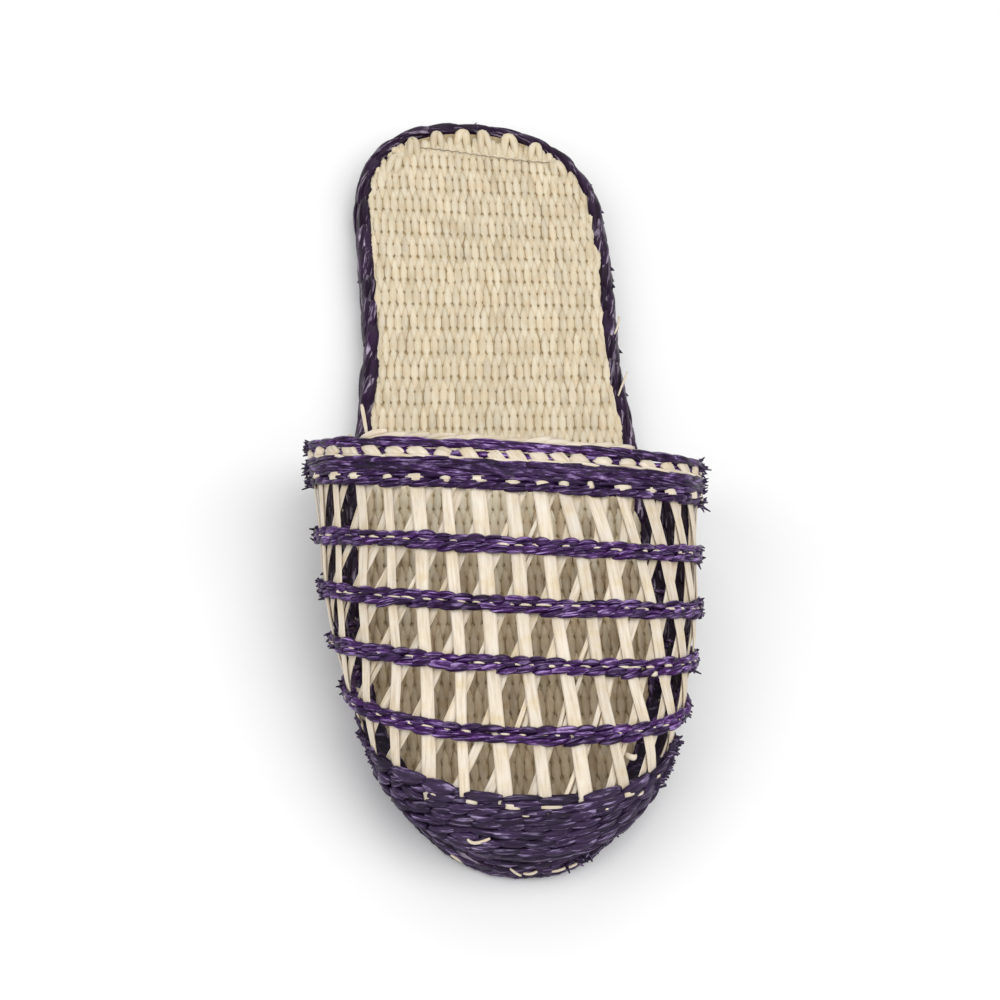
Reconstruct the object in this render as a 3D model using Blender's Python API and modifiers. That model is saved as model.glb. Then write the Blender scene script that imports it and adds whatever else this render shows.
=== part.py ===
# Woven straw slide: an open-heeled slipper with a closed toe.
# Metres, +Z up. The toe points to -Y and the heel to +Y; the origin is under the middle, on the floor.
from collections import namedtuple

import bpy
import bmesh
import numpy as np

MM = 0.001

# Driving sizes
OVERALL_LENGTH = 260 * MM
SOLE_LENGTH = 257.6 * MM
TOE_FRONT = -OVERALL_LENGTH / 2
HEEL_BACK = OVERALL_LENGTH / 2

SOLE_THICKNESS = 6.6 * MM
INSOLE_THICKNESS = 2.1 * MM
BINDING_WIDTH = 4.6 * MM
BINDING_BOTTOM = 0.6 * MM
BINDING_TOP = 9.3 * MM
SEAT_GAP = 0.3 * MM

HEEL_ROUND = 40 * MM
HEEL_POWER = 2.3
TOE_ROUND = 88 * MM
TOE_POWER = 2.2

WALL = 1.5 * MM
STRIP_RAISE = 0.5 * MM
OVERLAY_GAP = 0.35 * MM
WEFT_ROW_HEIGHT = 4.2 * MM
WEFT_ROW_THICKNESS = 1.1 * MM
WEFT_ROW_CROWN = 0.5 * MM
CAP_THICKNESS = 1.2 * MM
COLLAR_THICKNESS = 1.5 * MM
RIM_RADIUS = 1.8 * MM

# Half width of the sole, with its binding, by distance from the heel end
SidePlace = namedtuple("SidePlace", "from_heel half_width")
SIDE_TABLE = (
    SidePlace(0 * MM, 36.9 * MM),
    SidePlace(40 * MM, 36.9 * MM),
    SidePlace(56 * MM, 37.0 * MM),
    SidePlace(92 * MM, 36.3 * MM),
    SidePlace(120 * MM, 38.2 * MM),
    SidePlace(150 * MM, 41.0 * MM),
    SidePlace(180 * MM, 42.2 * MM),
    SidePlace(SOLE_LENGTH, 42.2 * MM),
)

# Sections of the upper, from the throat to the toe. Each is a leaning arch whose feet stand on the
# binding at sole_from_toe and whose crest is at crest_from_toe. The tuck is the angle by which the
# arch closes in again below its widest level, and the skew is how much of the rows' slant it takes.
# The foot's tuck is worked out from the sole's outline.
Section = namedtuple("Section", "name along sole_from_toe crest_from_toe crest_height tuck skew")
SECTION_TABLE = (
    Section("rim", 0.0 * MM, 126.0 * MM, 95.0 * MM, 55.0 * MM, 44.5, 1.0),
    Section("collar_foot", 13.5 * MM, 112.5 * MM, 82.0 * MM, 51.5 * MM, 41.0, 1.0),
    Section("row_1", 27.5 * MM, 97.0 * MM, 69.0 * MM, 46.5 * MM, 37.0, 1.0),
    Section("row_2", 42.8 * MM, 81.5 * MM, 54.3 * MM, 41.8 * MM, 34.5, 1.0),
    Section("row_3", 58.0 * MM, 67.0 * MM, 39.6 * MM, 37.6 * MM, 31.5, 1.0),
    Section("row_4", 75.0 * MM, 56.0 * MM, 23.3 * MM, 32.3 * MM, 28.0, 0.8),
    Section("cap_top", 89.5 * MM, 49.5 * MM, 10.8 * MM, 25.3 * MM, 20.5, 0.5),
    Section("toe_shoulder", 98.0 * MM, 47.0 * MM, 4.6 * MM, 19.6 * MM, 14.5, 0.2),
    Section("nose", 105.0 * MM, 46.0 * MM, 1.6 * MM, 13.4 * MM, 7.0, 0.0),
    Section("foot", 111.0 * MM, 45.6 * MM, 4.7 * MM, 9.6 * MM, None, 0.0),
)
ROW_SLANT = 0.075

# Hand-woven irregularity: how far each place along the shoe lies to the right and how far it is turned
AskewPlace = namedtuple("AskewPlace", "y aside turn")
ASKEW_TABLE = (
    AskewPlace(-130 * MM, 0.2 * MM, 0.01),
    AskewPlace(-95 * MM, -0.6 * MM, 0.0),
    AskewPlace(-55 * MM, -0.3 * MM, 0.0),
    AskewPlace(-20 * MM, 0.3 * MM, 0.0),
    AskewPlace(20 * MM, 1.6 * MM, 0.0),
    AskewPlace(60 * MM, 2.5 * MM, 0.02),
    AskewPlace(100 * MM, 1.9 * MM, 0.06),
    AskewPlace(130 * MM, 1.6 * MM, 0.08),
)
UPPER_FOOT = BINDING_TOP + SEAT_GAP

# Straw strips (stakes) on each side of the middle one, at the rim and from the toe cap on
STAKES_AT_RIM = 12.0
STAKES_AT_CAP = 7.7

# Where the left and right sides of a gap lie between two stakes, at its top, middle and bottom
GAP_TOP = (0.59, 0.83)
GAP_MIDDLE = (0.17, 0.83)
GAP_BOTTOM = (0.17, 0.41)
GAP_FOOT_MARGIN = 0.25
FOOT_SLIVER = 0.12

WALL_TOP = 2.8 * MM
BAND_TOP = 3.2 * MM
OVERLAY_END = 0.4
RIM_END = 0.6
OUTLINE_SEGMENTS = 76
WEFT_ROWS = ("row_1", "row_2", "row_3", "row_4")

STRAW = (0.78, 0.66, 0.45, 1.0)
SOLE_STRAW = (0.62, 0.48, 0.29, 1.0)
PURPLE = (0.055, 0.025, 0.105, 1.0)
PURPLE_BAND = (0.085, 0.035, 0.17, 1.0)


def clear_scene():
    for old in list(bpy.data.objects):
        bpy.data.objects.remove(old, do_unlink=True)


def make_material(name, colour, roughness):
    material = bpy.data.materials.new(name)
    material.use_nodes = True
    shader = material.node_tree.nodes["Principled BSDF"]
    shader.inputs["Base Color"].default_value = colour
    shader.inputs["Roughness"].default_value = roughness
    shader.inputs["Metallic"].default_value = 0.0
    return material


def smooth_through(xs, ys, x):
    # a smooth curve through a table's rows, flat at its turning points
    xs = np.asarray(xs, float)
    ys = np.asarray(ys, float)
    slope = np.diff(ys) / np.diff(xs)
    tangent = np.concatenate([slope[:1], (slope[:-1] + slope[1:]) / 2, slope[-1:]])
    turning = np.concatenate([[False], slope[:-1] * slope[1:] <= 0, [False]])
    tangent[turning] = 0
    x = np.clip(x, xs[0], xs[-1])
    k = np.clip(np.searchsorted(xs, x, side="right") - 1, 0, len(xs) - 2)
    step = xs[k + 1] - xs[k]
    t = (x - xs[k]) / step
    start = (2 * t**3 - 3 * t**2 + 1) * ys[k] + (t**3 - 2 * t**2 + t) * step * tangent[k]
    end = (3 * t**2 - 2 * t**3) * ys[k + 1] + (t**3 - t**2) * step * tangent[k + 1]
    return start + end


def round_end(reach, length, power):
    inside = np.clip(1 - reach / length, 0, 1)
    return np.clip(1 - inside**power, 0, 1) ** (1 / power)


def sole_half_width(from_heel, inset=0.0):
    distances, widths = zip(*SIDE_TABLE)
    straight = smooth_through(distances, widths, from_heel) - inset
    heel = round_end(from_heel - inset, HEEL_ROUND - inset, HEEL_POWER)
    toe = round_end(SOLE_LENGTH - inset - from_heel, TOE_ROUND - inset, TOE_POWER)
    return straight * heel * toe


def set_askew(x, y):
    places, asides, turns = zip(*ASKEW_TABLE)
    return x + smooth_through(places, asides, y), y - smooth_through(places, turns, y) * x


def sole_outline(turn, inset):
    # turn runs from 0 to 1: from the heel along the +X side to the toe, and back along the -X side
    angle = 2 * np.pi * np.asarray(turn, float)
    from_heel = inset + (SOLE_LENGTH / 2 - inset) * (1 - np.cos(angle))
    side = np.where(np.sin(angle) >= 0, 1.0, -1.0)
    return set_askew(side * sole_half_width(from_heel, inset), HEEL_BACK - from_heel)


def section_column(column):
    return np.array([getattr(section, column) for section in SECTION_TABLE], float)


def section_along(name):
    return next(section.along for section in SECTION_TABLE if section.name == name)


def foot_tuck():
    # the last section lies flat along the sole's own round toe, so its arch starts part way up
    inset = BINDING_WIDTH / 2
    reach = SECTION_TABLE[-1].sole_from_toe - (OVERALL_LENGTH - SOLE_LENGTH) - inset
    share = 1 - reach / (TOE_ROUND - inset)
    return -np.degrees(np.arcsin(share ** (TOE_POWER / 2)))


def signed_power(value, power):
    return np.sign(value) * np.abs(value) ** power


ALONG = section_column("along")
TUCK = np.nan_to_num(section_column("tuck"), nan=foot_tuck())
FOOT_INSET = BINDING_WIDTH / 2


def upper_point(along, around):
    # a point on the outside of the upper: along from the rim to the toe, around from -1 to 1
    along, around = np.broadcast_arrays(np.asarray(along, float), np.asarray(around, float))
    sole_from_toe = smooth_through(ALONG, section_column("sole_from_toe"), along)
    crest_from_toe = smooth_through(ALONG, section_column("crest_from_toe"), along)
    crest_height = smooth_through(ALONG, section_column("crest_height"), along)
    tuck = np.radians(smooth_through(ALONG, TUCK, along))
    slant = ROW_SLANT * smooth_through(ALONG, section_column("skew"), along)
    side = np.where(around < 0, -1.0, 1.0)
    foot_width = sole_half_width(OVERALL_LENGTH - sole_from_toe, FOOT_INSET)
    power = 2 / TOE_POWER
    angle = np.pi / 2 - np.abs(around) * (np.pi / 2 + tuck)
    low = signed_power(np.sin(-tuck), power)
    rise = (signed_power(np.sin(angle), power) - low) / (1 - low)
    x = side * foot_width / np.cos(tuck) ** power * np.maximum(np.cos(angle), 0) ** power
    y = TOE_FRONT + sole_from_toe + (crest_from_toe - sole_from_toe) * rise - slant * x
    z = UPPER_FOOT + (crest_height - UPPER_FOOT) * rise
    return np.stack([*set_askew(x, y), z], -1)


def stakes_per_side(along):
    share = np.clip(along / section_along("cap_top"), 0, 1)
    return STAKES_AT_RIM + (STAKES_AT_CAP - STAKES_AT_RIM) * share


AROUND_SAMPLES = np.linspace(-1, 1, 401)


def around_at(along, stake):
    # the place around the arch that lies a number of stakes from its crest, measured on the wall
    arch = upper_point(along, AROUND_SAMPLES)
    run = np.concatenate([[0], np.cumsum(np.linalg.norm(np.diff(arch, axis=0), axis=1))])
    crest = np.interp(0, AROUND_SAMPLES, run)
    share = np.clip(stake / stakes_per_side(along), -1, 1)
    wanted = crest + np.where(share < 0, share * crest, share * (run[-1] - crest))
    return float(np.interp(wanted, run, AROUND_SAMPLES))


def upper_normal(along, around):
    step = 0.5 * MM
    turn = 0.004
    last = ALONG[-1]
    front = upper_point(min(along + step, last), around)
    back = upper_point(max(along - step, 0), around)
    right = upper_point(along, min(around + turn, 1))
    left = upper_point(along, max(around - turn, -1))
    normal = np.cross(front - back, right - left)
    return normal / np.linalg.norm(normal)


def on_upper(along, stake, offset=0.0):
    around = around_at(along, stake)
    point = upper_point(along, around)
    if offset:
        point = point + offset * upper_normal(along, around)
    return point


def finish_object(name, bm, material, collection):
    mesh = bpy.data.meshes.new(name)
    bm.to_mesh(mesh)
    bm.free()
    mesh.materials.append(material)
    mesh.shade_smooth()
    mesh.set_sharp_from_angle(angle=np.radians(40))
    built = bpy.data.objects.new(name, mesh)
    collection.objects.link(built)
    return built


def add_solidify(built, thickness, offset):
    solidify = built.modifiers.new("wall", "SOLIDIFY")
    solidify.thickness = thickness
    solidify.offset = offset
    solidify.use_even_offset = False
    solidify.use_rim = True


def grid_places(columns, rows):
    # a flat grid, and the column and row number of each of its corners
    bm = bmesh.new()
    bmesh.ops.create_grid(bm, x_segments=columns, y_segments=rows, size=1.0)
    places = {}
    for vert in bm.verts:
        column = round((vert.co.x + 1) / 2 * columns)
        row = round((vert.co.y + 1) / 2 * rows)
        places[vert] = (column, row)
    return bm, places


def face_outwards(bm):
    # an open shell over the foot: its outside is the side that looks away from the sole's middle
    inside = np.array([0.0, TOE_FRONT + 0.35 * OVERALL_LENGTH, UPPER_FOOT])
    total = 0.0
    bm.normal_update()
    for face in bm.faces:
        away = np.array(face.calc_center_median()) - inside
        total += float(np.dot(away, face.normal)) * face.calc_area()
    if total < 0:
        bmesh.ops.reverse_faces(bm, faces=list(bm.faces))


def upper_lines():
    # the upper's cross lines: distance along, the sides of the gaps there, raised or not, gap below or not
    half_row = WEFT_ROW_HEIGHT / 2
    lines = [(WALL_TOP, GAP_TOP, False, False)]
    band_top = section_along("collar_foot")
    for name in WEFT_ROWS + ("cap_top",):
        end = section_along(name)
        band_bottom = end if name == "cap_top" else end - half_row
        lines.append((band_top, GAP_TOP, False, True))
        lines.append(((band_top + band_bottom) / 2, GAP_MIDDLE, True, True))
        lines.append((band_bottom, GAP_BOTTOM, False, False))
        band_top = end + half_row
    nose = section_along("nose")
    foot = section_along("foot")
    below_bands = cap_lines()[1:] + [(nose + foot) / 2, foot]
    return lines + [(along, GAP_BOTTOM, False, False) for along in below_bands]


def cap_lines():
    top = section_along("cap_top")
    shoulder = section_along("toe_shoulder")
    nose = section_along("nose")
    return [top, (top + shoulder) / 2, shoulder, (shoulder + nose) / 2, nose]


def make_upper(material, collection):
    lines = upper_lines()
    side_stakes = int(np.ceil(STAKES_AT_RIM))
    cells = 2 * side_stakes
    bm, places = grid_places(3 * cells, len(lines) - 1)
    gaps = []
    for face in bm.faces:
        columns = [places[vert][0] for vert in face.verts]
        row = min(places[vert][1] for vert in face.verts)
        cell, strand = divmod(min(columns), 3)
        outer_stake = max(abs(cell - side_stakes), abs(cell + 1 - side_stakes))
        band_end = row + 1 if lines[row][2] else min(row + 2, len(lines) - 1)
        inside = outer_stake < stakes_per_side(lines[band_end][0]) - GAP_FOOT_MARGIN
        if strand == 1 and lines[row][3] and inside:
            gaps.append(face)
    bmesh.ops.delete(bm, geom=gaps, context="FACES")
    beyond = {}
    for vert in bm.verts:
        column, row = places[vert]
        cell, strand = divmod(column, 3)
        along, sides, raised, _ = lines[row]
        stake = cell - side_stakes + (0, *sides)[strand]
        beyond[vert] = abs(stake) >= stakes_per_side(along) - FOOT_SLIVER
        if beyond[vert]:
            stake = np.sign(stake) * STAKES_AT_RIM
        lift = STRIP_RAISE if raised and strand == 0 and not beyond[vert] else 0.0
        vert.co = on_upper(along, stake, lift)
    outside = [face for face in bm.faces if all(beyond[vert] for vert in face.verts)]
    bmesh.ops.delete(bm, geom=outside, context="FACES")
    bmesh.ops.remove_doubles(bm, verts=list(bm.verts), dist=0.01 * MM)
    face_outwards(bm)
    upper = finish_object("upper", bm, material, collection)
    add_solidify(upper, WALL, -1.0)


def make_overlay(name, lines, thickness, material, collection, end=OVERLAY_END):
    # a band laid over the upper: lines give the distance along and the lift of each of its edges
    reach = max(stakes_per_side(along) for along, _ in lines)
    columns = 2 * int(np.ceil(reach * 2))
    bm, places = grid_places(columns, len(lines) - 1)
    for vert in bm.verts:
        column, row = places[vert]
        along, lift = lines[row]
        share = 2 * column / columns - 1
        stake = share * (stakes_per_side(along) - end)
        vert.co = on_upper(along, stake, OVERLAY_GAP + lift)
    face_outwards(bm)
    overlay = finish_object(name, bm, material, collection)
    add_solidify(overlay, thickness, 1.0)


def make_rim(material, collection):
    curve = bpy.data.curves.new("collar_rim", "CURVE")
    curve.dimensions = "3D"
    curve.bevel_depth = RIM_RADIUS
    curve.bevel_resolution = 2
    curve.use_fill_caps = True
    spline = curve.splines.new("POLY")
    reach = STAKES_AT_RIM - RIM_END
    stakes = np.linspace(-reach, reach, 2 * int(2 * reach) + 1)
    spline.points.add(len(stakes) - 1)
    for point, stake in zip(spline.points, stakes):
        point.co = (*on_upper(0.0, stake, -WALL / 2), 1.0)
    curve.materials.append(material)
    collection.objects.link(bpy.data.objects.new("collar_rim", curve))


def make_slab(name, inset, bottom, thickness, material, collection):
    curve = bpy.data.curves.new(name, "CURVE")
    curve.dimensions = "2D"
    curve.fill_mode = "BOTH"
    curve.extrude = thickness / 2
    spline = curve.splines.new("POLY")
    spline.use_cyclic_u = True
    turns = np.arange(OUTLINE_SEGMENTS) / OUTLINE_SEGMENTS
    spline.points.add(len(turns) - 1)
    for point, x, y in zip(spline.points, *sole_outline(turns, inset)):
        point.co = (x, y, 0, 1)
    curve.materials.append(material)
    slab = bpy.data.objects.new(name, curve)
    slab.location.z = bottom + thickness / 2
    collection.objects.link(slab)


def make_binding(material, collection):
    # a rounded band around the sole: its section goes round once for each step along the outline
    section_steps = 8
    bm, places = grid_places(OUTLINE_SEGMENTS, section_steps)
    middle = (BINDING_BOTTOM + BINDING_TOP) / 2
    half_height = (BINDING_TOP - BINDING_BOTTOM) / 2
    roundness = 0.7
    for vert in bm.verts:
        column, row = places[vert]
        angle = 2 * np.pi * row / section_steps
        inset = BINDING_WIDTH / 2 * (1 - signed_power(np.cos(angle), roundness))
        x, y = sole_outline(column / OUTLINE_SEGMENTS, inset)
        vert.co = (x, y, middle + half_height * signed_power(np.sin(angle), roundness))
    bmesh.ops.remove_doubles(bm, verts=list(bm.verts), dist=0.01 * MM)
    bmesh.ops.recalc_face_normals(bm, faces=list(bm.faces))
    finish_object("edge_binding", bm, material, collection)


def main():
    clear_scene()
    slipper = bpy.data.collections.new("straw_slide")
    bpy.context.scene.collection.children.link(slipper)
    straw = make_material("natural_straw", STRAW, 0.55)
    sole_straw = make_material("sole_straw", SOLE_STRAW, 0.7)
    purple = make_material("purple_straw", PURPLE, 0.5)
    purple_band = make_material("purple_band_straw", PURPLE_BAND, 0.45)

    inside_binding = BINDING_WIDTH + SEAT_GAP
    make_slab("sole", inside_binding, 0.0, SOLE_THICKNESS, sole_straw, slipper)
    make_slab("insole", inside_binding, SOLE_THICKNESS + SEAT_GAP, INSOLE_THICKNESS, straw, slipper)
    make_binding(purple, slipper)
    make_upper(straw, slipper)
    make_overlay("toe_cap", [(along, 0.0) for along in cap_lines()], CAP_THICKNESS, purple, slipper)
    for number, name in enumerate(WEFT_ROWS, start=1):
        middle = section_along(name)
        edge = WEFT_ROW_HEIGHT / 2
        lines = [(middle - edge, 0.0), (middle, WEFT_ROW_CROWN), (middle + edge, 0.0)]
        make_overlay(f"weft_row_{number}", lines, WEFT_ROW_THICKNESS, purple_band, slipper)
    band_foot = section_along("collar_foot")
    band_lines = [(BAND_TOP, 0.0), ((BAND_TOP + band_foot) / 2, WEFT_ROW_CROWN), (band_foot, 0.0)]
    make_overlay("collar_band", band_lines, COLLAR_THICKNESS, purple_band, slipper, RIM_END)
    make_rim(straw, slipper)


main()
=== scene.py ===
import math

import bpy
import numpy as np
from mathutils import Euler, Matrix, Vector
from mathutils.bvhtree import BVHTree


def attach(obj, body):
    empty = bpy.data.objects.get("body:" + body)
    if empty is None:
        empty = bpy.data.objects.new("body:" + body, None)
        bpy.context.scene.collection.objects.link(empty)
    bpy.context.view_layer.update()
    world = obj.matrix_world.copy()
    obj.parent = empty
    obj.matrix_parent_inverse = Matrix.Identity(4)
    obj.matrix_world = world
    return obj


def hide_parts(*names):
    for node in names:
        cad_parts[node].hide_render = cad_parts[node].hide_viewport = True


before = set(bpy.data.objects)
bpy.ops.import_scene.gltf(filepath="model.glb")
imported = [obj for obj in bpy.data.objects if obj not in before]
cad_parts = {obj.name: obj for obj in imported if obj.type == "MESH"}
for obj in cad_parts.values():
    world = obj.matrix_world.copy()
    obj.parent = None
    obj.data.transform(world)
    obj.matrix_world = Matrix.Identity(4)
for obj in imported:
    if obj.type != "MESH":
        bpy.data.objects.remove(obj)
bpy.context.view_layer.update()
mm = 0.001
uvUnit = 10 * mm  # one unit of a strand's texture
dice = np.random.default_rng(41)
print("frame loaded")


def inMm(**sizes):
    return {name: size * mm for name, size in sizes.items()}


slipper = {
    **inMm(length=260, soleLength=257.6, bindingWidth=4.6, bindingMiddle=4.95, bindingHalfHeight=4.35),
    **inMm(upperFoot=9.6, wall=1.5, collarFoot=13.5, capTop=89.5, rowHeight=4.2),
    "heelRound": (40 * mm, 2.3),  # length and power of the rounding
    "toeRound": (88 * mm, 2.2),
    "rowSlant": 0.075,
    "stakesAtRim": 12.0,  # straw stakes on each side of the middle one
    "stakesAtCap": 7.7,
    "rows": (27.5 * mm, 42.8 * mm, 58.0 * mm, 75.0 * mm),
}

# distance from the heel and half width, in mm
sideWidths = np.array([
    (0, 36.9), (40, 36.9), (56, 37.0), (92, 36.3), (120, 38.2), (150, 41.0), (180, 42.2), (256.3, 42.2),
]) * mm

# mm along the crest, mm from the toe to the foot and to the crest, crest height, tuck in degrees, slant share
archTable = np.array([
    (0.0, 126.0, 95.0, 55.0, 44.5, 1.0),  # rim
    (13.5, 112.5, 82.0, 51.5, 41.0, 1.0),  # collar foot
    (27.5, 97.0, 69.0, 46.5, 37.0, 1.0),
    (42.8, 81.5, 54.3, 41.8, 34.5, 1.0),
    (58.0, 67.0, 39.6, 37.6, 31.5, 1.0),
    (75.0, 56.0, 23.3, 32.3, 28.0, 0.8),
    (89.5, 49.5, 10.8, 25.3, 20.5, 0.5),  # toe cap
    (98.0, 47.0, 4.6, 19.6, 14.5, 0.2),
    (105.0, 46.0, 1.6, 13.4, 7.0, 0.0),  # nose
    (111.0, 45.6, 4.7, 9.6, 0.0, 0.0),  # foot, its tuck is worked out below
])
archTable[:, :4] *= mm

# hand-woven irregularity: mm along the shoe, mm to the right and turn there
askewTable = np.array([
    (-130, 0.2, 0.01), (-95, -0.6, 0.0), (-55, -0.3, 0.0), (-20, 0.3, 0.0), (20, 1.6, 0.0), (60, 2.5, 0.02),
    (100, 1.9, 0.06), (130, 1.6, 0.08),
])
askewTable[:, :2] *= mm
toeY = -slipper["length"] / 2
heelY = slipper["length"] / 2


def smoothThrough(xs, ys, x):
    # a smooth curve through points, level where they turn back
    slope = np.diff(ys) / np.diff(xs)
    tangent = np.concatenate([slope[:1], (slope[:-1] + slope[1:]) / 2, slope[-1:]])
    turning = np.concatenate([[False], slope[:-1] * slope[1:] <= 0, [False]])
    tangent[turning] = 0
    x = np.clip(x, xs[0], xs[-1])
    k = np.clip(np.searchsorted(xs, x, side="right") - 1, 0, len(xs) - 2)
    step = xs[k + 1] - xs[k]
    t = (x - xs[k]) / step
    start = (2 * t**3 - 3 * t**2 + 1) * ys[k] + (t**3 - 2 * t**2 + t) * step * tangent[k]
    end = (3 * t**2 - 2 * t**3) * ys[k + 1] + (t**3 - t**2) * step * tangent[k + 1]
    return start + end


def setAskew(points):
    # every point of the weave goes through this, as the solids did
    x, y, z = points.T
    aside, turn = (smoothThrough(askewTable[:, 0], askewTable[:, c], y) for c in (1, 2))
    return np.stack([x + aside, y - turn * x, np.maximum(z, 0.0)], -1)


def roundEnd(reach, length, power):
    # the share of the full width that is left near a rounded end
    inside = np.clip(1 - reach / length, 0, 1)
    return np.clip(1 - inside**power, 0, 1) ** (1 / power)


def signedPower(value, power):
    return np.sign(value) * np.abs(value) ** power


def soleHalfWidth(fromHeel, inset=0.0):
    straight = smoothThrough(sideWidths[:, 0], sideWidths[:, 1], fromHeel) - inset
    heelLength, heelPower = slipper["heelRound"]
    toeLength, toePower = slipper["toeRound"]
    heel = roundEnd(fromHeel - inset, heelLength - inset, heelPower)
    toe = roundEnd(slipper["soleLength"] - inset - fromHeel, toeLength - inset, toePower)
    return straight * heel * toe


def footTuck():
    # the arch's tuck that makes the upper's foot meet the rounded toe
    toeLength, toePower = slipper["toeRound"]
    inset = slipper["bindingWidth"] / 2
    reach = archTable[-1, 1] - (slipper["length"] - slipper["soleLength"]) - inset
    return -math.degrees(math.asin((1 - reach / (toeLength - inset)) ** (toePower / 2)))


archTable[-1, 4] = footTuck()


def upperPoint(along, around):
    # around runs from -1 at the left foot over the crest to 1 at the right foot
    along, around = np.broadcast_arrays(np.asarray(along, float), np.asarray(around, float))
    columns = (smoothThrough(archTable[:, 0], archTable[:, c], along) for c in range(1, 6))
    foot, crest, height, tuck, slant = columns
    tuck = np.radians(tuck)
    power = 2 / slipper["toeRound"][1]
    footWidth = soleHalfWidth(slipper["length"] - foot, slipper["bindingWidth"] / 2)
    angle = np.pi / 2 - np.abs(around) * (np.pi / 2 + tuck)
    low = signedPower(np.sin(-tuck), power)
    rise = (signedPower(np.sin(angle), power) - low) / (1 - low)
    widest = np.where(around < 0, -1, 1) * footWidth / np.cos(tuck) ** power
    x = widest * np.maximum(np.cos(angle), 0) ** power
    y = toeY + foot + (crest - foot) * rise - slipper["rowSlant"] * slant * x
    z = slipper["upperFoot"] + (height - slipper["upperFoot"]) * rise
    return np.stack([x, y, z], -1)


def unit(vectors):
    return vectors / np.maximum(np.linalg.norm(vectors, axis=-1, keepdims=True), 1e-12)


def runAlong(path):
    # how far along a path each of its points lies
    return np.concatenate([[0], np.cumsum(np.linalg.norm(np.diff(path, axis=0), axis=1))])


upward = np.array([0, 0, 1.0])
gridAlong = np.linspace(0, archTable[-1, 0], 186)
gridShare = np.linspace(-1, 1, 221)
archSteps = 600


def unrollUpper():
    # the upper's wall on a grid that is even along each arch
    fine = np.linspace(-1, 1, archSteps + 1)
    points = np.empty((len(gridAlong), len(gridShare), 3))
    for row, along in enumerate(gridAlong):
        arch = upperPoint(along, fine)
        run = runAlong(arch)
        crest = run[archSteps // 2]
        wanted = crest + np.where(gridShare < 0, gridShare * crest, gridShare * (run[-1] - crest))
        points[row] = upperPoint(along, np.interp(wanted, run, fine))
    return points, unit(np.cross(np.gradient(points, axis=0), np.gradient(points, axis=1)))


upperPoints, upperNormals = unrollUpper()


def stakesPerSide(along):
    share = np.clip(np.asarray(along) / slipper["capTop"], 0, 1)
    return slipper["stakesAtRim"] + (slipper["stakesAtCap"] - slipper["stakesAtRim"]) * share


def onUpper(along, stake, lift):
    # point and outward normal, a number of stakes from the crest
    along, stake, lift = np.broadcast_arrays(along, stake, lift)
    row = np.clip(along / gridAlong[-1], 0, 1) * (len(gridAlong) - 1)
    col = (np.clip(stake / stakesPerSide(along), -1, 1) + 1) / 2 * (len(gridShare) - 1)
    r = np.minimum(row.astype(int), len(gridAlong) - 2)
    c = np.minimum(col.astype(int), len(gridShare) - 2)
    down = (row - r)[..., None]
    over = (col - c)[..., None]

    def mixed(grid):
        top = grid[r, c] * (1 - over) + grid[r, c + 1] * over
        return top * (1 - down) + (grid[r + 1, c] * (1 - over) + grid[r + 1, c + 1] * over) * down

    normal = unit(mixed(upperNormals))
    aboveRim = (upperPoints[1, c] - upperPoints[0, c]) / gridAlong[1] * np.minimum(along, 0)[..., None]
    return mixed(upperPoints) + normal * lift[..., None] + aboveRim, normal


# how the stakes run, in stakes: fan on each side, places and drift at the crest, lean on the right of band 1
stakeRun = dict(fanRight=0.18, fanLeft=0.08, start=-0.2, drift=0.58, lean=0.4, leanMost=1.3, leanFrom=3,
                leanEnd=28 * mm, leanLength=14 * mm)


def stakeAt(number, along):
    # the stakes fan out and drift to the right on their way to the toe
    number = np.asarray(number)
    openLength = slipper["capTop"] - slipper["collarFoot"]
    t = np.clip((np.asarray(along) - slipper["collarFoot"]) / openLength, 0, 1)
    fan = np.where(number > 0, stakeRun["fanRight"], stakeRun["fanLeft"])
    lean = np.clip((stakeRun["leanEnd"] - along) / stakeRun["leanLength"], 0, stakeRun["leanMost"])
    lean = stakeRun["lean"] * lean * np.clip(number / stakeRun["leanFrom"], 0, 1)
    return number * (1 + fan * t) + stakeRun["start"] + stakeRun["drift"] * t - lean


def newBundle():
    return {"points": [], "quads": [], "uvs": [], "tones": [], "count": 0}


def keepInBundle(bundle, points, quads, uvs, tone):
    bundle["points"].append(points)
    bundle["quads"].append(quads + bundle["count"])
    bundle["uvs"].append(uvs)
    bundle["tones"].append(np.full(len(points), tone))
    bundle["count"] += len(points)


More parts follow.
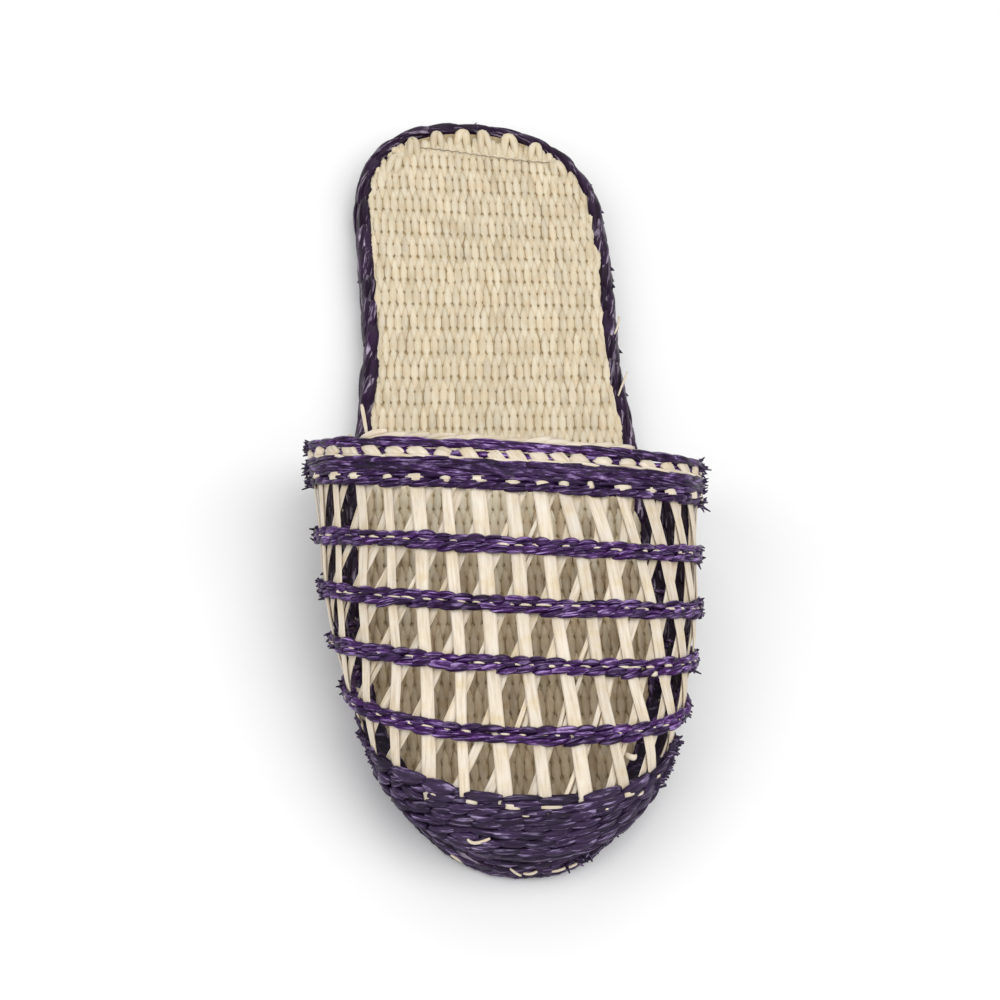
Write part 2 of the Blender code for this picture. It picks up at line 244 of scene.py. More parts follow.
def addStrand(bundle, path, normals, widths, thicks, sides=6, square=1.0, tone=None):
    # a closed strand swept along a path, wide across it and thick along its normals or its one normal
    rings = len(path)
    way = unit(np.gradient(path, axis=0))
    across = unit(np.cross(way, normals))
    up = np.cross(across, way)
    angle = 2 * np.pi * (np.arange(sides) + 0.5) / sides - np.pi / 2
    wide = signedPower(np.round(np.cos(angle), 6), square)
    high = signedPower(np.round(np.sin(angle), 6), square)
    wide = np.broadcast_to(widths, rings)[:, None] / 2 * wide / wide.max()
    high = np.broadcast_to(thicks, rings)[:, None] / 2 * high / high.max()
    points = path[:, None] + across[:, None] * wide[..., None] + up[:, None] * high[..., None]
    run = runAlong(path) / uvUnit
    ring, k = np.meshgrid(np.arange(rings - 1), np.arange(sides), indexing="ij")
    after = (k + 1) % sides
    here = ring * sides
    ahead = here + sides
    quads = np.stack([here + k, ahead + k, ahead + after, here + after], -1)
    u0 = k / sides
    u1 = (k + 1) / sides
    uvs = np.stack([u0, run[ring], u0, run[ring + 1], u1, run[ring + 1], u1, run[ring]], -1)
    j = np.arange(sides // 2 - 1)
    cap = np.stack([-j % sides, j + 1, j + 2, (-j - 1) % sides], -1)
    caps = np.concatenate([cap, cap[:, ::-1] + (rings - 1) * sides])
    capUvs = np.tile([0.5, 0.0], (len(caps), 4))
    keepInBundle(
        bundle, points.reshape(-1, 3), np.concatenate([quads.reshape(-1, 4), caps]),
        np.concatenate([uvs.reshape(-1, 8), capUvs]), dice.random() if tone is None else tone,
    )


def addShadeSheet(bundle, sheet):
    # a thin closed sheet under the stitches, so that no light comes between them; its low tone makes it a
    # dark sheet of painted shade
    rows = sheet["rows"]
    columns = sheet["columns"]
    alongs = np.linspace(sheet["start"], sheet["end"], rows)[:, None] * mm
    stake = np.linspace(-1, 1, columns)[None] * (stakesPerSide(alongs) - sheet["footEnd"])
    top, normals = onUpper(alongs, stake, sheet["lift"] * mm)
    points = np.concatenate([top, top - normals * sheet["thick"] * mm]).reshape(-1, 3)
    index = np.arange(rows * columns).reshape(rows, columns)
    faces = np.stack([index[:-1, :-1], index[1:, :-1], index[1:, 1:], index[:-1, 1:]], -1).reshape(-1, 4)
    edge = np.concatenate([index[:, 0], index[-1, 1:], index[-2::-1, -1], index[0, -2::-1]])
    under = rows * columns
    rim = np.stack([edge[:-1], edge[:-1] + under, edge[1:] + under, edge[1:]], -1)
    quads = np.concatenate([faces, faces[:, ::-1] + under, rim])
    place = np.stack([points[:, 1], points[:, 0]], -1) / uvUnit
    keepInBundle(bundle, points, quads, place[quads].reshape(-1, 8), sheet["tone"])


def makeWeave(name, layers, node=None, sharpAngle=None):
    # one mesh from its bundles, a material for each
    def gathered(key):
        return np.concatenate([part for bundle, _ in layers for part in bundle[key]])

    mesh = bpy.data.meshes.new(name)
    starts = np.cumsum([0] + [bundle["count"] for bundle, _ in layers])
    points = setAskew(gathered("points"))
    quadSets = [np.concatenate(bundle["quads"]) + start for (bundle, _), start in zip(layers, starts)]
    quads = np.concatenate(quadSets)
    mesh.vertices.add(len(points))
    mesh.vertices.foreach_set("co", points.ravel())
    mesh.loops.add(quads.size)
    mesh.loops.foreach_set("vertex_index", quads.ravel().astype(np.int32))
    mesh.polygons.add(len(quads))
    mesh.polygons.foreach_set("loop_start", np.arange(len(quads), dtype=np.int32) * 4)
    owner = np.concatenate([np.full(len(part), n, dtype=np.int32) for n, part in enumerate(quadSets)])
    mesh.polygons.foreach_set("material_index", owner)
    mesh.update(calc_edges=True)
    mesh.uv_layers.new(name="strandUv").data.foreach_set("uv", gathered("uvs").ravel())
    mesh.attributes.new("tone", "FLOAT", "POINT").data.foreach_set("value", gathered("tones"))
    mesh.shade_smooth()
    if sharpAngle:
        mesh.set_sharp_from_angle(angle=math.radians(sharpAngle))
    for _, material in layers:
        mesh.materials.append(material)
    piece = bpy.data.objects.new(name, mesh)
    bpy.context.scene.collection.objects.link(piece)
    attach(piece, "root")
    if node:
        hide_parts(node)
    print(name, 2 * len(quads), "triangles")


def fillInputs(tree, node, inputs):
    # each input gets a value or what comes out of another node
    for label, value in inputs.items():
        if isinstance(value, bpy.types.NodeSocket):
            tree.links.new(value, node.inputs[label])
        else:
            node.inputs[label].default_value = value


def addNode(tree, kind, inputs, **settings):
    node = tree.nodes.new("ShaderNode" + kind)
    for name, value in settings.items():
        setattr(node, name, value)
    fillInputs(tree, node, inputs)
    return node


def mathNode(tree, operation, first, second):
    return addNode(tree, "Math", {0: first, 1: second}, operation=operation).outputs[0]


def noiseNode(tree, place, detail, roughness):
    inputs = {"Vector": place, "Scale": 1.0, "Detail": detail, "Roughness": roughness}
    return addNode(tree, "TexNoise", inputs).outputs["Fac"]


def mapRange(tree, value, fromLow, fromHigh, toLow, toHigh):
    inputs = {"Value": value, "From Min": fromLow, "From Max": fromHigh, "To Min": toLow, "To Max": toHigh}
    return addNode(tree, "MapRange", inputs).outputs["Result"]


def rampNode(tree, value, stops):
    ramp = addNode(tree, "ValToRGB", {"Fac": value})
    elements = ramp.color_ramp.elements
    while len(elements) < len(stops):
        elements.new(0.5)
    for element, (position, colour) in zip(elements, stops):
        element.position = position
        element.color = (*colour, 1)
    return ramp.outputs["Color"]


def newMaterial(name):
    material = bpy.data.materials.new(name)
    material.use_nodes = True
    return material, material.node_tree, material.node_tree.nodes["Principled BSDF"]


# how far apart the streaks of two tones and the blotches lie in the noise, and the blotches' scale
fibre = {"toneShift": 37.0, "blotchShift": 11.0, "blotchAcross": 2.0, "blotchAlong": 2.6}


def makeFibreGroup():
    # fine streaks and broad blotches along a strand, other ones for each tone
    group = bpy.data.node_groups.new("strawFibre", "ShaderNodeTree")
    group.interface.new_socket("Place", in_out="INPUT", socket_type="NodeSocketVector")
    for label in ("Tone", "Fineness", "Shortness"):
        group.interface.new_socket(label, in_out="INPUT", socket_type="NodeSocketFloat")
    for label in ("Streak", "Blotch"):
        group.interface.new_socket(label, in_out="OUTPUT", socket_type="NodeSocketFloat")
    given = group.nodes.new("NodeGroupInput").outputs
    across, along, _ = addNode(group, "SeparateXYZ", {0: given["Place"]}).outputs
    shift = mathNode(group, "MULTIPLY", given["Tone"], fibre["toneShift"])
    fine = addNode(group, "CombineXYZ", {
        0: mathNode(group, "MULTIPLY", across, given["Fineness"]),
        1: mathNode(group, "MULTIPLY", along, given["Shortness"]),
        2: shift,
    }).outputs[0]
    broad = addNode(group, "CombineXYZ", {
        0: mathNode(group, "MULTIPLY", across, fibre["blotchAcross"]),
        1: mathNode(group, "MULTIPLY", along, fibre["blotchAlong"]),
        2: mathNode(group, "ADD", shift, fibre["blotchShift"]),
    }).outputs[0]
    streak = noiseNode(group, fine, 4.0, 0.6)
    blotch = noiseNode(group, broad, 2.0, 0.5)
    fillInputs(group, group.nodes.new("NodeGroupOutput"), {"Streak": streak, "Blotch": blotch})
    return group


fibreGroup = makeFibreGroup()
plainLook = {"roughness": (0.5, 0.66), "stainShare": 0.6, "shortness": 1.3, "bump": 0.3, "gloss": 0.3}


def strandMaterial(name, look):
    # straw that is streaked along each strand, stained in places and lighter or darker by its tone; on the
    # dyed straws the lightest streaks are painted glints
    look = {**plainLook, **look}
    material, tree, shader = newMaterial(name)
    strand = addNode(tree, "Group", {}, node_tree=fibreGroup)
    tone = addNode(tree, "Attribute", {}, attribute_name="tone").outputs["Fac"]
    fillInputs(tree, strand, {
        "Place": addNode(tree, "UVMap", {}, uv_map="strandUv").outputs["UV"],
        "Tone": tone,
        "Fineness": look["fineness"],
        "Shortness": look["shortness"],
    })
    streak = strand.outputs["Streak"]
    blotch = strand.outputs["Blotch"]
    stained = addNode(tree, "Mix", {
        "Factor": mapRange(tree, blotch, 0.52, 0.75, 0.0, look["stainShare"]),
        "A": rampNode(tree, streak, look["streaksAndGlints"]),
        "B": (*look["stain"], 1),
    }, data_type="RGBA")
    shaded = addNode(tree, "HueSaturation", {
        "Color": stained.outputs["Result"],
        "Value": mapRange(tree, tone, 0, 1, *look["toneRange"]),
        "Saturation": mapRange(tree, blotch, 0.3, 0.7, *look["saturation"]),
    })
    bump = addNode(tree, "Bump", {"Strength": look["bump"], "Distance": 0.3 * mm, "Height": streak})
    fillInputs(tree, shader, {
        "Base Color": shaded.outputs["Color"],
        "Roughness": mapRange(tree, streak, 0.3, 0.7, *look["roughness"]),
        "Normal": bump.outputs["Normal"],
        "Specular IOR Level": look["gloss"],
    })
    return material


naturalStraw = strandMaterial("naturalStraw", {
    "streaksAndGlints": [(0.28, (0.58, 0.46, 0.31)), (0.5, (0.76, 0.65, 0.50)), (0.68, (0.84, 0.75, 0.61))],
    "stain": (0.66, 0.53, 0.31), "stainShare": 0.45, "toneRange": (0.86, 1.04), "saturation": (0.8, 1.08),
    "roughness": (0.38, 0.55), "fineness": 20.0, "bump": 0.35, "gloss": 0.45,
})
insoleStraw = strandMaterial("insoleStraw", {
    "streaksAndGlints": [(0.28, (0.55, 0.45, 0.29)), (0.5, (0.69, 0.59, 0.41)), (0.7, (0.78, 0.69, 0.52))],
    "stain": (0.68, 0.53, 0.41), "stainShare": 0.4, "toneRange": (0.92, 1.06), "saturation": (0.82, 1.1),
    "fineness": 5.0, "gloss": 0.35,
})
# a darker, browner copy of the insole straw for the straws under the upper: painted shade
innerShadeStraw = strandMaterial("innerShadeStraw", {
    "streaksAndGlints": [(0.28, (0.45, 0.335, 0.20)), (0.5, (0.62, 0.50, 0.33)), (0.7, (0.72, 0.60, 0.43))],
    "stain": (0.50, 0.36, 0.24), "toneRange": (0.78, 1.06), "saturation": (0.9, 1.1), "fineness": 5.0,
})
# the lightest stop is a painted lavender glint
purpleTwine = strandMaterial("purpleTwine", {
    "streaksAndGlints": [(0.39, (0.013, 0.002, 0.022)), (0.53, (0.046, 0.010, 0.086)), (0.65, (0.32, 0.21, 0.45))],
    "stain": (0.017, 0.003, 0.027), "stainShare": 0.7, "toneRange": (0.55, 1.6), "saturation": (0.9, 1.1),
    "roughness": (0.24, 0.42), "fineness": 9.0, "shortness": 2.6, "bump": 0.9, "gloss": 0.2,
})
# the lightest stop is a painted lilac glint
capStraw = strandMaterial("capStraw", {
    "streaksAndGlints": [(0.40, (0.020, 0.011, 0.029)), (0.55, (0.036, 0.019, 0.058)), (0.66, (0.25, 0.19, 0.33))],
    "stain": (0.020, 0.012, 0.027), "stainShare": 0.7, "toneRange": (0.7, 1.7), "saturation": (0.85, 1.1),
    "roughness": (0.32, 0.52), "fineness": 9.0, "shortness": 2.0, "bump": 0.8, "gloss": 0.16,
})
# the lightest stop is a painted pale glint
edgeStrip = strandMaterial("edgeStrip", {
    "streaksAndGlints": [(0.36, (0.014, 0.003, 0.018)), (0.55, (0.036, 0.010, 0.048)), (0.64, (0.42, 0.34, 0.46))],
    "stain": (0.012, 0.003, 0.016), "toneRange": (0.45, 1.05), "saturation": (0.85, 1.05),
    "roughness": (0.3, 0.5), "fineness": 7.0, "shortness": 1.0, "bump": 0.6, "gloss": 0.14,
})
threadGrey = strandMaterial("threadGrey", {
    "streaksAndGlints": [(0.3, (0.22, 0.18, 0.13)), (0.5, (0.34, 0.28, 0.2)), (0.7, (0.45, 0.38, 0.28))],
    "stain": (0.2, 0.16, 0.12), "stainShare": 0.3, "toneRange": (0.9, 1.1), "saturation": (0.8, 1.0),
    "roughness": (0.6, 0.8), "fineness": 6.0,
})

# the straw mat itself, seen only between the woven strands, painted darker than the straws as the shade in
# the holes
matLook = {"grain": (900, 120, 900), "shades": [(0.3, (0.32, 0.235, 0.12)), (0.7, (0.48, 0.37, 0.21))]}
matShade, matTree, matShader = newMaterial("matShade")
matPlace = addNode(matTree, "TexCoord", {}).outputs["Object"]
matStretch = addNode(matTree, "Mapping", {"Scale": matLook["grain"], "Vector": matPlace}).outputs["Vector"]
matGrain = noiseNode(matTree, matStretch, 3.0, 0.6)
fillInputs(matTree, matShader, {
    "Base Color": rampNode(matTree, matGrain, matLook["shades"]),
    "Roughness": mapRange(matTree, matGrain, 0.3, 0.7, 0.6, 0.8),
})
insoleNode = bpy.data.objects["insole"]
for holder in insoleNode.material_slots:
    holder.material = matShade
print("materials made")


def floatWeave(bundle, mat, front=None):
    # straws that float over a hidden cross cord; each row lies half a straw aside and reaches into the next,
    # which leaves small dark holes; q runs from -1 to 1 along a strand, here and below
    q = np.array([-1, -0.71, -0.5, -0.36, -0.2, 0.2, 0.36, 0.5, 0.71, 1])
    lens = np.array([0.24, 0.72, 1.0, 0.62, 1.1, 1.1, 0.74, 1.0, 0.72, 0.24])
    sink = np.array([0.7, 0.3, 0.12, 0.05, 0.0, 0.0, 0.05, 0.12, 0.3, 0.7])
    ys = np.arange(toeY + mat["toeEnd"], heelY - mat["heelEnd"] + mat["row"] / 2, mat["row"])
    half = mat["row"] / 2 + mat["tuck"]
    for number, middle in enumerate(ys):
        aside = mat["pitch"] / 2 * (number % 2)
        for x in np.arange(-mat["reach"], mat["reach"], mat["pitch"]) + aside:
            trial = middle + half * np.linspace(-1, 1, 25)
            inside = np.abs(x) < soleHalfWidth(heelY - trial, mat["inset"])
            inside &= trial < heelY - mat["heelEnd"]
            if trial[inside].size < 6:
                continue
            shake = dice.normal(0, 1, 5)
            # towards the toe more and more straws take the darker copy, as painted shade under the upper
            straws = front if front and -middle > dice.uniform(10, 60) * mm else bundle
            low, high = trial[inside][0], trial[inside][-1]
            y = (low + high) / 2 + (high - low) / 2 * q + 0.3 * mm * shake[4]
            sway = x + mat["pitch"] * (0.035 * shake[0] + 0.035 * shake[1] * q)
            z = mat["level"] + mat["side"] * (0.07 * mm * shake[2] - mat["dive"] * sink)
            path = np.stack([sway, y, z], -1)
            width = mat["pitch"] * (1 + 0.04 * shake[3]) * lens
            thick = mat["thick"] * (1 - 0.3 * np.abs(q))
            addStrand(straws, path, mat["side"] * upward, width, thick, square=0.6)


# the mat under the foot
insoleMat = {
    **inMm(reach=45, pitch=2.27, row=9.3, tuck=1.9, inset=3.5, toeEnd=9.0, heelEnd=8.5),
    **inMm(level=9.15, thick=1.3, dive=0.6),
    "side": 1,
}
insoleFloats = newBundle()
# straws under the upper, drawn in the darker copy as painted shade
innerShadeFloats = newBundle()  # under the upper
floatWeave(insoleFloats, insoleMat, innerShadeFloats)


def outlineFromHeel(x, inset):
    # how far from the heel end the inset outline reaches a place across it
    trial = np.linspace(inset, 60 * mm, 600)
    return np.interp(np.abs(x), soleHalfWidth(trial, inset), trial)


def outlineRing(inset, count):
    # once around the sole from the heel, at an inset from its outline
    turn = np.linspace(0, 2 * np.pi, count)
    fromHeel = inset + (slipper["soleLength"] / 2 - inset) * (1 - np.cos(turn))
    x = np.sign(np.sin(turn) + 1e-9) * soleHalfWidth(fromHeel, inset)
    return np.stack([x, heelY - fromHeel], -1)


edgeCord = inMm(inset=4.4, level=8.7, width=2.0, thick=1.2, heelEnd=22)
cordLine = outlineRing(edgeCord["inset"], 241)
cordLine = cordLine[cordLine[:, 1] < heelY - edgeCord["heelEnd"]]  # not past the loops at the heel
cordPath = np.insert(cordLine, 2, edgeCord["level"], axis=1)
addStrand(insoleFloats, cordPath, upward, edgeCord["width"], edgeCord["thick"], tone=0.3)

# bent straws that come back over the heel's edge; those outside turnFrom turn in with the rounded heel
heelLoops = {
    **inMm(pitch=7.4, reach=26, turnFrom=20, start=15.0, end=5.2, shortest=6),
    **inMm(open=1.45, width=2.5, thick=1.5, level=10.1),
}
bend = np.linspace(-1, 1, 11)
for x in np.arange(-heelLoops["reach"], heelLoops["reach"] + mm, heelLoops["pitch"]):
    shake = dice.normal(0, 1, 5)
    end = outlineFromHeel(x, heelLoops["end"]) + 0.4 * mm * shake[0]
    start = max(heelLoops["start"], end + heelLoops["shortest"]) + mm * shake[1]
    y = heelY - end - (start - end) * np.abs(bend) ** 2.4
    sway = x + heelLoops["open"] * (1 + 0.2 * shake[2]) * np.sign(bend) * np.abs(bend) ** 0.6
    sway = sway + 0.6 * mm * shake[3] * (1 - np.abs(bend))
    if abs(x) > heelLoops["turnFrom"]:
        sway = sway - 0.25 * (y - heelY + start) * np.sign(x)
    z = heelLoops["level"] + mm * (0.35 - 0.5 * np.abs(bend) ** 2 - 1.5 * np.abs(bend) ** 8)
    width = heelLoops["width"] * (1 + 0.12 * shake[4]) * (1 - 0.45 * np.abs(bend) ** 6)
    path = np.stack([sway, y, z], -1)
    addStrand(insoleFloats, path, upward, width, heelLoops["thick"], square=0.8)

# straight straws between the loops
edgeStraws = {
    **inMm(pitch=2.6, left=-28, right=28.1, start=14.5, inset=4.8, end=1.7, shortest=5, width=2.5, thick=1.3),
    "places": np.array([0, 0.2, 0.5, 0.8, 1.0]),
    "levels": np.array([8.3, 9.0, 9.3, 9.2, 8.2]) * mm,
    "widths": np.array([0.4, 0.9, 1.0, 0.9, 0.5]),
}
for x in np.arange(edgeStraws["left"], edgeStraws["right"], edgeStraws["pitch"]):
    shake = dice.normal(0, 1, 4)
    end = outlineFromHeel(x, edgeStraws["inset"]) + edgeStraws["end"] + 0.5 * mm * shake[0]
    start = max(edgeStraws["start"], end + edgeStraws["shortest"]) + 0.8 * mm * shake[1]
    y = heelY - start + (start - end) * edgeStraws["places"]
    z = edgeStraws["levels"] + 0.1 * mm * shake[2]
    path = np.stack([np.full(len(y), x), y, z], -1)
    width = edgeStraws["width"] * (1 + 0.1 * shake[3]) * edgeStraws["widths"]
    addStrand(insoleFloats, path, upward, width, edgeStraws["thick"], square=0.7)

# one running thread across the heel, up and down between the straws
heelSeam = {
    **inMm(left=-20, right=25, fromHeel=14.8, level=10.0, stitch=2.75, width=0.26),
    "slope": 0.07,
    "steps": 60,
}
seam = newBundle()
seamX = np.linspace(heelSeam["left"], heelSeam["right"], heelSeam["steps"])
seamY = heelY - heelSeam["fromHeel"] - heelSeam["slope"] * seamX - 0.5 * mm * np.sin(seamX / (9 * mm))
seamZ = heelSeam["level"] + 0.22 * mm * np.cos(seamX / heelSeam["stitch"] * 2 * np.pi)
seamPath = np.stack([seamX, seamY, seamZ], -1)
addStrand(seam, seamPath, upward, heelSeam["width"], heelSeam["width"], tone=0.1)
insoleLayers = [(insoleFloats, insoleStraw), (innerShadeFloats, innerShadeStraw), (seam, threadGrey)]
makeWeave("insoleWeave", insoleLayers)

# the sole, with a coarser weave underneath
soleMat = {
    **inMm(reach=45, pitch=4.3, row=15.0, tuck=3.1, inset=3.9, toeEnd=11.0, heelEnd=4.0),
    **inMm(level=0.85, thick=1.7, dive=1.2),
    "side": -1,
}
soleFloats = newBundle()
floatWeave(soleFloats, soleMat)
soleBody = {**inMm(inset=4.9, middle=3.85, thick=5.5, least=0.5), "steps": 61}
soleCore = newBundle()
coreTurn = np.linspace(0.0, np.pi, soleBody["steps"])
coreLength = slipper["soleLength"] / 2 - soleBody["inset"]
coreFromHeel = soleBody["inset"] + coreLength * (1 - np.cos(coreTurn))
coreWidth = np.maximum(2 * soleHalfWidth(coreFromHeel, soleBody["inset"]), soleBody["least"])
corePath = np.stack([0 * coreTurn, heelY - coreFromHeel, np.full(soleBody["steps"], soleBody["middle"])], -1)
addStrand(soleCore, corePath, upward, coreWidth, soleBody["thick"], sides=4, square=0.02, tone=0.4)
makeWeave("soleWeave", [(soleFloats, insoleStraw), (soleCore, insoleStraw)], "sole", 50)

# the binding around the sole's edge
edgeLine = outlineRing(slipper["bindingWidth"] / 2, 1201)
edgeRun = runAlong(edgeLine)
edgeLength = edgeRun[-1]


def onEdge(run, around, lift):
    # around the binding's own section: 0 is straight out, 90 degrees is on top
    def onLine(place):
        return np.stack([np.interp(place % edgeLength, edgeRun, edgeLine[:, c]) for c in (0, 1)], -1)

    run = np.asarray(run) % edgeLength
    here = onLine(run)
    way = unit(onLine(run + mm) - here)
    out = np.stack([-way[..., 1], way[..., 0]], -1)
    out = out * np.sign(np.sum(out * here + 1e-12, -1, keepdims=True))
    around = np.broadcast_to(np.radians(around), run.shape)
    lift = np.broadcast_to(lift, run.shape)
    halfWidth = slipper["bindingWidth"] / 2
    halfHeight = slipper["bindingHalfHeight"]
    side = np.cos(around) * (halfWidth + lift)
    top = slipper["bindingMiddle"] + np.sin(around) * (halfHeight + lift)
    leanOut = out * (np.cos(around) / halfWidth)[..., None]
    normal = unit(np.concatenate([leanOut, (np.sin(around) / halfHeight)[..., None]], -1))
    return np.concatenate([here + out * side[..., None], top[..., None]], -1), normal


binding = {
    **inMm(pitch=10.0, span=16.5, thick=1.15, coreWidth=3.4, coreHeight=7.4),
    "courses": [(122, 3.6, 1), (84, 4.2, 1), (40, 4.4, 1), (-2, 4.4, 1), (-46, 4.0, -1)],  # degrees, mm, lean
    "lean": 24,
}
toeStitch = {
    **inMm(reach=70, pitch=3.7, half=2.8, width=2.3, thick=1.3),
    "courses": (98, 66, 32, 2, -28, -52),  # degrees
}
bindingStrands = newBundle()
q = np.linspace(-1, 1, 9)
for place, wide, lean in binding["courses"]:
    count = round(edgeLength / binding["pitch"])
    for number in range(count):
        shake = dice.normal(0, 1, 5)
        run = (number + 0.14 * shake[0]) * edgeLength / count
        run = run + q * binding["span"] / 2 * (1 + 0.1 * shake[1])
        around = place + lean * binding["lean"] * q + 5 * shake[2]
        lift = (-0.8 + 0.8 * (1 - np.abs(q) ** 3) + 0.3 * q + 0.18 * shake[3]) * mm
        path, normals = onEdge(run, around, lift)
        width = wide * mm * (1 - 0.45 * np.abs(q) ** 3) * (1 + 0.12 * shake[4])
        addStrand(bindingStrands, path, normals, width, binding["thick"] * (1 - 0.3 * q**4), square=0.75)
toeStitches = newBundle()  # closer ones over the binding at the toe
stitchRuns = np.arange(-toeStitch["reach"], toeStitch["reach"], toeStitch["pitch"])
for row, around in enumerate(toeStitch["courses"]):
    for run in stitchRuns + toeStitch["pitch"] / 2 * (row % 2):
        shake = dice.normal(0, 1, 5)
        lift = (-0.55 + 1.25 * (1 - np.abs(q) ** 2.6) + 0.12 * shake[0]) * mm
        lean = -(5 + 9 * np.clip(-run / (30 * mm), 0, 1)) * q
        runs = edgeLength / 2 + run + q * toeStitch["half"]
        path, normals = onEdge(runs, around + 3 * shake[2] + lean, lift)
        width = toeStitch["width"] * (1 - 0.6 * np.abs(q) ** 2.5) * (1 + 0.15 * shake[3])
        thick = toeStitch["thick"] * (1 - 0.3 * q**4)
        addStrand(toeStitches, path[::2], normals[::2], width[::2], thick[::2])
core = newBundle()
corePath, _ = onEdge(np.linspace(0, edgeLength * 0.9999, 161), 90, -slipper["bindingHalfHeight"])
addStrand(
    core, corePath, upward, binding["coreWidth"], binding["coreHeight"], sides=8, square=0.7, tone=0.2,
)
bindingLayers = [(bindingStrands, edgeStrip), (toeStitches, capStraw), (core, edgeStrip)]
makeWeave("edgeBinding", bindingLayers, "edge_binding")

# the strips of the upper, and where its open bands start and end along the crest
rowHalf = slipper["rowHeight"] / 2
bandTops = [slipper["collarFoot"]] + [row + rowHalf for row in slipper["rows"]]
bandBottoms = [row - rowHalf for row in slipper["rows"]] + [slipper["capTop"]]
stakes = {
    **inMm(thick=0.5, lift=-0.25, start=4.0, end=96.0, step=1.4),
    "widths": ((-9, -5, -1, 2, 6, 10), (2.0, 2.5, 3.4, 3.4, 2.8, 2.5)),  # stake number and mm
    "footEnd": 0.05,  # stakes
}
crossStrips = {
    **inMm(width=2.3, thick=0.4, lift=-0.95, tuck=2.2),
    **dict(reach=0.5, footEnd=0.3, splitApart=0.075),  # stakes
    "splitShare": 0.35,
    "steps": 10,
}
fewestRings = 6  # shorter strips are left out

frontStakes = newBundle()
for number in range(-12, 13):
    along = np.arange(stakes["start"], stakes["end"], stakes["step"])
    stake = stakeAt(number, along) + 0.03 * dice.normal()
    waves = dice.uniform(0, 6.3, 3)
    stake = stake + 0.03 * np.sin(along / (9 * mm) + waves[0])
    keep = np.abs(stake) < stakesPerSide(along) - stakes["footEnd"]
    if keep.sum() < fewestRings:
        continue
    first, last = np.flatnonzero(keep)[[0, -1]]
    along = along[first:last + 1]
    stake = stake[first:last + 1]
    lift = stakes["lift"] + 0.12 * mm * np.sin(along / (5 * mm) + waves[1])
    path, normals = onUpper(along, stake, lift)
    width = np.interp(number, *stakes["widths"]) * mm * (1 + 0.14 * dice.uniform(-1, 1))
    width = width * (1 + 0.08 * np.sin(along / (13 * mm) + waves[2]))
    addStrand(frontStakes, path, normals, width, stakes["thick"], square=0.3)

rearStrips = newBundle()
for top, bottom in zip(bandTops, bandBottoms):
    along = np.linspace(top - crossStrips["tuck"], bottom + crossStrips["tuck"], crossStrips["steps"])
    share = np.linspace(0, 1, crossStrips["steps"])
    for number in range(-13, 13):
        shake = dice.normal(0, 1, 6)
        reach = crossStrips["reach"] * (1 + 0.08 * shake[0])
        middle = stakeAt(number, along) + 0.05 * shake[1]
        split = dice.random() < crossStrips["splitShare"]
        opening = 0.6 + 0.8 * (share if shake[3] > 0 else 1 - share)
        for part in ((-1, 1) if split else (0,)):
            spread = part * (crossStrips["splitApart"] + 0.02 * abs(shake[2])) * opening
            stake = middle + reach * (1 - 2 * share) + spread
            keep = np.abs(stake) < stakesPerSide(along) - crossStrips["footEnd"]
            if keep.sum() < fewestRings:
                continue
            lift = crossStrips["lift"] - (0.15 * mm if part > 0 else 0)
            path, normals = onUpper(along[keep], stake[keep], lift)
            width = crossStrips["width"] * (1 + 0.12 * shake[4]) * (0.5 if split else 1.0)
            addStrand(rearStrips, path, normals, width, crossStrips["thick"], square=0.3)
upperLayers = [(frontStakes, naturalStraw), (rearStrips, naturalStraw)]
makeWeave("upperStrips", upperLayers, "upper", 35)

# what a course of stitches has unless it says otherwise; along is in metres, pitch, span, phase, reach and
# end are in stakes, and width, thick, lift, rise and the slants are in mm
plainCourse = dict(phase=0, reach=(-20, 20), end=0.35, wild=1, slant=0, rightSlant=0, leftTurn=0, taper=0.5,
                   split=0.5, square=1.0, tone=1.0)


def twineCourse(bundle, course, inside=False):
    # one course of stitches around the upper, each from behind one stake to behind another
    course = {**plainCourse, **course}
    q = np.linspace(-1, 1, 7)
    lowest, highest = course["reach"]
    for number in np.arange(-15, 15, course["pitch"]) + course["phase"]:
        centre = stakeAt(number, course["along"])
        if abs(centre) > stakesPerSide(course["along"]) - course["end"] or not lowest < number < highest:
            continue
        shake = dice.normal(0, 1, 6) * course["wild"]
        left = course["leftTurn"] * np.clip(-centre / 4 - 0.1, 0, 1)
        right = np.clip(centre / 4 - 0.4, 0, 1)
        reach = course["span"] / 2 * (1 + 0.07 * shake[0]) * (1 - 0.3 * left)
        stake = centre + q * reach + 0.04 * course["pitch"] * shake[1]
        slant = course["slant"] + course["rightSlant"] * right - left
        along = course["along"] + mm * (slant * q * (1 + 0.3 * shake[2]) + 0.1 * shake[3])
        lift = mm * (course["lift"] + course["rise"] * (1 - np.abs(q) ** 2.6) + 0.08 * shake[4])
        fat = 1 - course["taper"] * np.abs(q) ** 2.5
        width = course["width"] * mm * fat * (1 + 0.1 * shake[5])
        thick = course["thick"] * mm * (0.55 + 0.45 * fat)
        if inside:  # closer to the wall, so that it stays behind the outer course
            lift = -slipper["wall"] * 0.8 - 0.4 * lift
            along = along - 0.6 * mm
            width = 0.7 * width
            thick = 0.7 * thick
        split = dice.random() < course["split"] and not inside
        for part in ((-1, 1) if split else (0,)):
            aside = part * 0.27 * width + part * 0.12 * mm * dice.normal() * q
            path, normals = onUpper(along + aside, stake, lift - abs(part) * 0.1 * mm * dice.random())
            tone = dice.random() * course["tone"]
            addStrand(
                bundle, path, -normals if inside else normals, width * (0.62 if split else 1.0),
                thick * (0.85 if split else 1.0), square=course["square"], tone=tone,
            )


